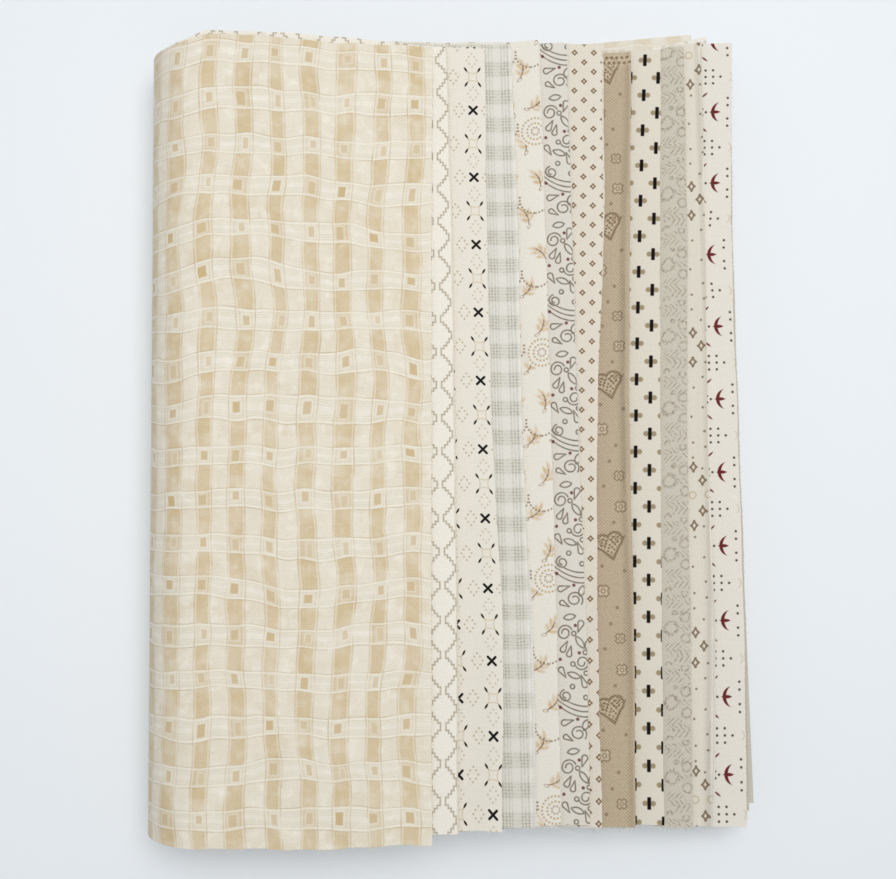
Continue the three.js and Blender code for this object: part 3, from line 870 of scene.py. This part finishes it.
# Innermost cloth, a plain stone grey cotton without a print. It is folded double too, and only a sliver of it
# shows past the twelfth one.
stone_edge = [87.3, 87.2, 86.1, 85.2, 85.5]
stone = folded_cloth(
    "plain_stone_cloth", 12, stone_edge, near=(-117.4, -114.3), far=(111.7, 113.0),
    under_near=(88.7, -112.1), under_far=(82.4, 112.5), above=birds_edge,
    slack=(0.3, 0.2, -0.3, -0.2, 0.2), lift=(0.2, 0.2, 0.1, 0.1, 0.1), tuck=(0.0, 3.2),
)
cotton = Cotton("plain_stone_cotton", (194, 187, 172))
stone.data.materials.append(cotton.weave(contrast=0.06, grain=0.3))
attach(stone, "root")
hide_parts("cloth_plain_stone")

# Loose threads, all of undyed or pale cotton. Every cut leaves the ends of single warp and weft threads
# standing out a little, and some long ones have pulled free along the near cuts.
THREAD_RADIUS = 0.07
FRAY_COLOURS = (
    (232, 224, 206), (238, 234, 224), (238, 233, 222), (226, 224, 217), (238, 233, 222), (222, 216, 208),
    (232, 226, 212), (190, 172, 150), (230, 224, 212), (212, 206, 194), (230, 224, 210), (236, 231, 221),
    (206, 200, 188),
)
UNDYED = (244, 242, 237)
chances = np.random.default_rng(11)


def along_line(line, spacing):
    """Places along a line of points, at about even distances with a little chance in them."""
    lengths = np.concatenate([[0], np.cumsum(np.linalg.norm(np.diff(line, axis=0), axis=1))])
    places = np.arange(0.2, lengths[-1], spacing)
    places = places + chances.uniform(-0.4, 0.4, len(places)) * spacing
    return np.stack([np.interp(places, lengths, line[:, axis]) for axis in range(3)], axis=-1)


def thread_tubes(paths, radius):
    """Three-sided tubes along many paths of equally many points, as points and corner numbers."""
    forward = np.gradient(paths, axis=1)
    aside = np.cross(forward, (0.0, 0.0, 1.0))
    aside = aside / np.linalg.norm(aside, axis=-1, keepdims=True)
    upward = np.cross(aside, forward)
    upward = upward / np.linalg.norm(upward, axis=-1, keepdims=True)
    turns = np.arange(3) * 2 * pi / 3
    ring = aside[:, :, None] * np.cos(turns)[:, None] + upward[:, :, None] * np.sin(turns)[:, None]
    taper = np.linspace(1.0, 0.6, paths.shape[1])[:, None, None]
    points = paths[:, :, None] + ring * radius * taper
    number = np.arange(points.size // 3).reshape(points.shape[:3])
    near_row, far_row = number[:, :-1], number[:, 1:]
    corners = [near_row, np.roll(near_row, -1, axis=2), np.roll(far_row, -1, axis=2), far_row]
    return points.reshape(-1, 3), np.stack(corners, axis=-1).reshape(-1, 4)


tube_points, tube_corners, tube_tints = [], [], []


def add_threads(paths, radius, colour):
    points, corners = thread_tubes(paths, radius)
    tube_corners.append(corners + sum(len(done) for done in tube_points))
    tube_points.append(points)
    tube_tints.append(np.tile(linear(colour), (len(points), 1)))


for (near_line, far_line, raw_line), colour in zip(cut_edges, FRAY_COLOURS):
    for line, outward, spacing, reach in (
        (near_line, (0, -1, 0), 0.6, 0.5), (far_line, (0, 1, 0), 0.7, 0.4), (raw_line, (1, 0, 0), 1.4, 0.22),
    ):
        roots = along_line(line, spacing)
        lengths = np.minimum(chances.exponential(reach, (len(roots), 1)), 3 * reach) + 0.1
        sideways = chances.normal(0, 0.45, (len(roots), 1)) * np.roll(outward, 1)
        upwards = chances.normal(-0.1, 0.25, (len(roots), 1)) * np.array((0, 0, 1))
        direction = np.array(outward) + sideways + upwards
        bow = chances.normal(0, 0.2, (len(roots), 1)) * np.roll(outward, 1) * lengths
        root = roots - np.array(outward) * 0.3 - np.array((0, 0, 0.1))
        run = direction * lengths
        add_threads(np.stack([root, roots + run * 0.5 + bow, roots + run], axis=1), THREAD_RADIUS, colour)

share = np.linspace(0, 1, 22)
for from_x, from_y, run_x, run_y, dip, sway in (
    (25.5, -117.2, 8.6, -1.9, 2.4, 0.9), (34.0, -117.6, 7.4, -3.0, 3.0, -0.8),
    (28.6, -117.3, 5.2, -1.0, 1.5, 0.6), (15.4, -117.9, 1.9, -1.7, 1.5, 0.5),
    (52.8, -118.2, -2.6, -1.5, 1.2, 0.6), (66.4, -118.4, 2.4, -1.5, 1.4, -0.5),
    (27.0, -117.4, 12.4, -2.6, 3.4, 0.7), (38.0, -117.6, 9.0, -1.6, 2.0, 0.5),
    (45.0, -117.8, 6.4, -1.2, 1.4, -0.4), (57.0, -117.8, 7.5, -1.4, 1.6, 0.4),
    (72.0, -118.4, 6.0, -1.1, 1.2, -0.4),
):
    path_x = from_x + run_x * share + 0.25 * sway * np.sin(share * 9)
    path_y = from_y + run_y * share + sway * np.sin(share * pi * 1.6)
    path_z = OUTERMOST_RADIUS * 2 - from_x * 0.13 + 0.5 - dip * share ** 2
    add_threads(np.stack([path_x, path_y, path_z], axis=-1)[None], THREAD_RADIUS, UNDYED)

threads_mesh = bpy.data.meshes.new("loose_threads")
threads_mesh.from_pydata(np.concatenate(tube_points) * MM, [], np.concatenate(tube_corners).tolist())
tint = threads_mesh.attributes.new("tint", "FLOAT_COLOR", "POINT")
tint.data.foreach_set("color", np.concatenate(tube_tints).astype(np.float32).ravel())
loose_threads = placed("loose_threads", threads_mesh)
thread_cotton, thread_tree, thread_shader = new_material("thread_cotton")
thread_tint = new_node(thread_tree, "Attribute")
thread_tint.attribute_name = "tint"
twist = new_node(thread_tree, "TexNoise", Scale=2500.0)
twisted = new_node(thread_tree, "Bump", Distance=0.03 * MM, Height=twist.outputs[0])
fill(thread_tree, thread_shader, {
    "Base Color": thread_tint.outputs["Color"], "Normal": twisted.outputs[0],
    "Roughness": 0.9, "Sheen Weight": 0.15,
})
threads_mesh.materials.append(thread_cotton)
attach(loose_threads, "root")

# The plain pale floor, and the soft light of a studio tent: one wide lamp high overhead, a little to the
# right and towards the far side, and a pale surround. The camera looks down from half a metre, tilted a
# little towards the far edge.
FLOOR_SIZE = 3.0
floor_mesh = bpy.data.meshes.new("floor")
floor_mesh.from_pydata(
    [(sx * FLOOR_SIZE / 2, sy * FLOOR_SIZE / 2, 0) for sx, sy in ((-1, -1), (1, -1), (1, 1), (-1, 1))],
    [], [(0, 1, 2, 3)],
)
floor = placed("floor", floor_mesh)
floor_paint, floor_tree, floor_shader = new_material("pale_floor")
fill(floor_tree, floor_shader, {
    "Base Color": linear((238, 243, 248)), "Roughness": 0.7, "Specular IOR Level": 0.2,
})
floor_mesh.materials.append(floor_paint)

tent_lamp = bpy.data.lights.new("tent_lamp", "SPOT")
tent_lamp.shadow_soft_size = 0.36
tent_lamp.spot_size = radians(64)
tent_lamp.spot_blend = 1.0
tent_lamp.energy = 42.0
tent_lamp.color = (1.0, 0.985, 0.965)
lamp_holder = placed("tent_lamp", tent_lamp)
lamp_holder.location = (0.13, 0.14, 1.25)
lamp_aim = (lamp_holder.location - Vector((0.0, 0.1, 0.0))).to_track_quat("Z", "Y")
lamp_holder.rotation_euler = lamp_aim.to_euler()
surround = bpy.data.worlds.new("pale_surround")
surround.use_nodes = True
sky = surround.node_tree.nodes["Background"]
fill(surround.node_tree, sky, {"Color": (0.96, 0.98, 1.0, 1.0), "Strength": 0.45})
bpy.context.scene.world = surround
bpy.context.scene.view_settings.view_transform = "Standard"

CAMERA_HEIGHT, CAMERA_TILT, CAMERA_BACK = 505.0, 5.0, -48.8
PHOTO_WIDTH, FOCAL_PIXELS, SENSOR_WIDTH = 896, 1650.0, 36.0
camera_data = bpy.data.cameras.new("camera")
camera_data.sensor_fit = "HORIZONTAL"
camera_data.sensor_width = SENSOR_WIDTH
camera_data.lens = FOCAL_PIXELS * SENSOR_WIDTH / PHOTO_WIDTH
camera_data.clip_start = 0.01
camera = placed("camera", camera_data)
camera.location = (0.1 * MM, CAMERA_BACK * MM, CAMERA_HEIGHT * MM)
camera.rotation_euler = (radians(CAMERA_TILT), 0, 0)
bpy.context.scene.camera = camera
